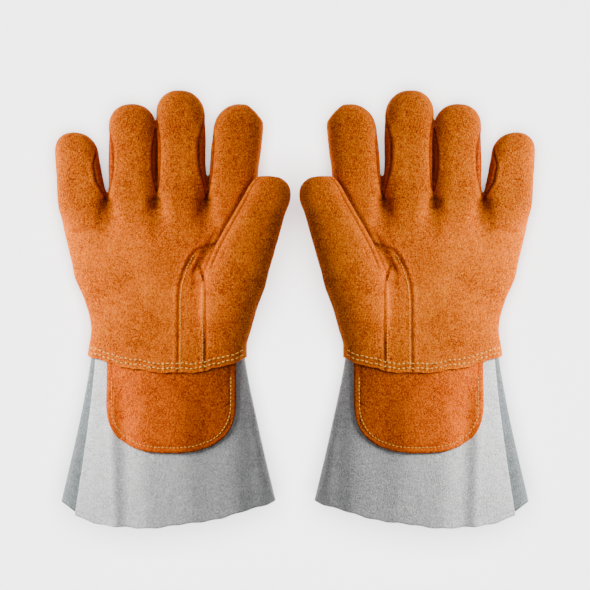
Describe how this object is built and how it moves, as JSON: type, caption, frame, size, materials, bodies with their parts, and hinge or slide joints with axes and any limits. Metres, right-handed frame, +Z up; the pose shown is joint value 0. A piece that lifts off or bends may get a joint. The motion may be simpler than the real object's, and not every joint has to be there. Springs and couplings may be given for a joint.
{
  "type": "welding gloves",
  "caption": "Pair of mirrored suede leather welding gloves lying palm up, with gauntlet cuffs, wrist patches, thumb strips and hollow fingers that bend.",
  "frame": {"origin": "middle of the pair's bounding box, on the surface the backs lie on", "axes": "+X across the pair from the right-hand glove to the left-hand glove, +Y from the cuffs to the fingertips, +Z up out of the palms"},
  "size_m": [0.3832, 0.3491, 0.0582],
  "materials": {
    "orange_suede": "napped suede, matte",
    "dark_orange_suede": "napped suede, matte",
    "grey_suede": "napped suede, matte",
    "gusset_suede": "napped suede, matte",
    "thread": "twisted sewing thread",
    "lining": "brushed cotton"
  },
  "bodies": {
    "right_hand": {"right_palm_panel": "orange_suede", "right_thenar_panel": "orange_suede", "right_thumb_strip": "orange_suede", "right_back_panel": "orange_suede", "right_hand_lining": "lining", "right_hem_thread_lower": "thread", "right_hem_thread_upper": "thread", "right_strip_thread": "thread"},
    "right_index": {"right_index_front": "orange_suede", "right_index_back": "orange_suede", "right_index_little_side_wall": "dark_orange_suede"},
    "right_middle": {"right_middle_front": "orange_suede", "right_middle_back": "orange_suede", "right_middle_little_side_wall": "dark_orange_suede", "right_middle_thumb_side_wall": "dark_orange_suede"},
    "right_ring": {"right_ring_front": "orange_suede", "right_ring_back": "orange_suede", "right_ring_little_side_wall": "dark_orange_suede", "right_ring_thumb_side_wall": "dark_orange_suede"},
    "right_little": {"right_little_front": "orange_suede", "right_little_back": "orange_suede", "right_little_thumb_side_wall": "dark_orange_suede"},
    "right_thumb": {"right_thumb_front": "orange_suede", "right_thumb_back": "orange_suede"},
    "right_cuff": {"right_cuff_front": "grey_suede", "right_cuff_back": "grey_suede", "right_cuff_gusset": "gusset_suede", "right_wrist_patch": "dark_orange_suede", "right_patch_thread": "thread"},
    "left_hand": {"left_palm_panel": "orange_suede", "left_thenar_panel": "orange_suede", "left_thumb_strip": "orange_suede", "left_back_panel": "orange_suede", "left_hand_lining": "lining", "left_hem_thread_lower": "thread", "left_hem_thread_upper": "thread", "left_strip_thread": "thread"},
    "left_index": {"left_index_front": "orange_suede", "left_index_back": "orange_suede", "left_index_little_side_wall": "dark_orange_suede"},
    "left_middle": {"left_middle_front": "orange_suede", "left_middle_back": "orange_suede", "left_middle_little_side_wall": "dark_orange_suede", "left_middle_thumb_side_wall": "dark_orange_suede"},
    "left_ring": {"left_ring_front": "orange_suede", "left_ring_back": "orange_suede", "left_ring_little_side_wall": "dark_orange_suede", "left_ring_thumb_side_wall": "dark_orange_suede"},
    "left_little": {"left_little_front": "orange_suede", "left_little_back": "orange_suede", "left_little_thumb_side_wall": "dark_orange_suede"},
    "left_thumb": {"left_thumb_front": "orange_suede", "left_thumb_back": "orange_suede"},
    "left_cuff": {"left_cuff_front": "grey_suede", "left_cuff_back": "grey_suede", "left_cuff_gusset": "gusset_suede", "left_wrist_patch": "dark_orange_suede", "left_patch_thread": "thread"}
  },
  "joints": [
    {"name": "right_index_bend", "type": "hinge", "parent": "right_hand", "child": "right_index", "pos_m": [-0.0498, 0.0775, 0.0286], "axis": [1, 0, 0], "range_deg": [0, 22]},
    {"name": "right_middle_bend", "type": "hinge", "parent": "right_hand", "child": "right_middle", "pos_m": [-0.0908, 0.0775, 0.0286], "axis": [1, 0, 0], "range_deg": [0, 75]},
    {"name": "right_ring_bend", "type": "hinge", "parent": "right_hand", "child": "right_ring", "pos_m": [-0.1318, 0.0775, 0.0286], "axis": [1, 0, 0], "range_deg": [0, 75]},
    {"name": "right_little_bend", "type": "hinge", "parent": "right_hand", "child": "right_little", "pos_m": [-0.1708, 0.0775, 0.0286], "axis": [1, 0, 0], "range_deg": [0, 75]},
    {"name": "right_thumb_bend", "type": "hinge", "parent": "right_hand", "child": "right_thumb", "pos_m": [-0.0493, 0.0308, 0.0588], "axis": [0.8981, -0.4399, 0], "range_deg": [0, 50]},
    {"name": "right_cuff_bend", "type": "hinge", "parent": "right_hand", "child": "right_cuff", "pos_m": [-0.1008, -0.0485, 0.0372], "axis": [-1, 0, 0], "range_deg": [0, 45]},
    {"name": "pair_apart", "type": "slide", "parent": "right_hand", "child": "left_hand", "axis": [0, 0, 1], "range_m": [0, 0.15]},
    {"name": "left_index_bend", "type": "hinge", "parent": "left_hand", "child": "left_index", "pos_m": [0.0498, 0.0775, 0.0286], "axis": [1, 0, 0], "range_deg": [0, 22]},
    {"name": "left_middle_bend", "type": "hinge", "parent": "left_hand", "child": "left_middle", "pos_m": [0.0908, 0.0775, 0.0286], "axis": [1, 0, 0], "range_deg": [0, 75]},
    {"name": "left_ring_bend", "type": "hinge", "parent": "left_hand", "child": "left_ring", "pos_m": [0.1318, 0.0775, 0.0286], "axis": [1, 0, 0], "range_deg": [0, 75]},
    {"name": "left_little_bend", "type": "hinge", "parent": "left_hand", "child": "left_little", "pos_m": [0.1708, 0.0775, 0.0286], "axis": [1, 0, 0], "range_deg": [0, 75]},
    {"name": "left_thumb_bend", "type": "hinge", "parent": "left_hand", "child": "left_thumb", "pos_m": [0.0493, 0.0308, 0.0588], "axis": [0.8981, 0.4399, 0], "range_deg": [0, 50]},
    {"name": "left_cuff_bend", "type": "hinge", "parent": "left_hand", "child": "left_cuff", "pos_m": [0.1008, -0.0485, 0.0372], "axis": [-1, 0, 0], "range_deg": [0, 45]}
  ]
}
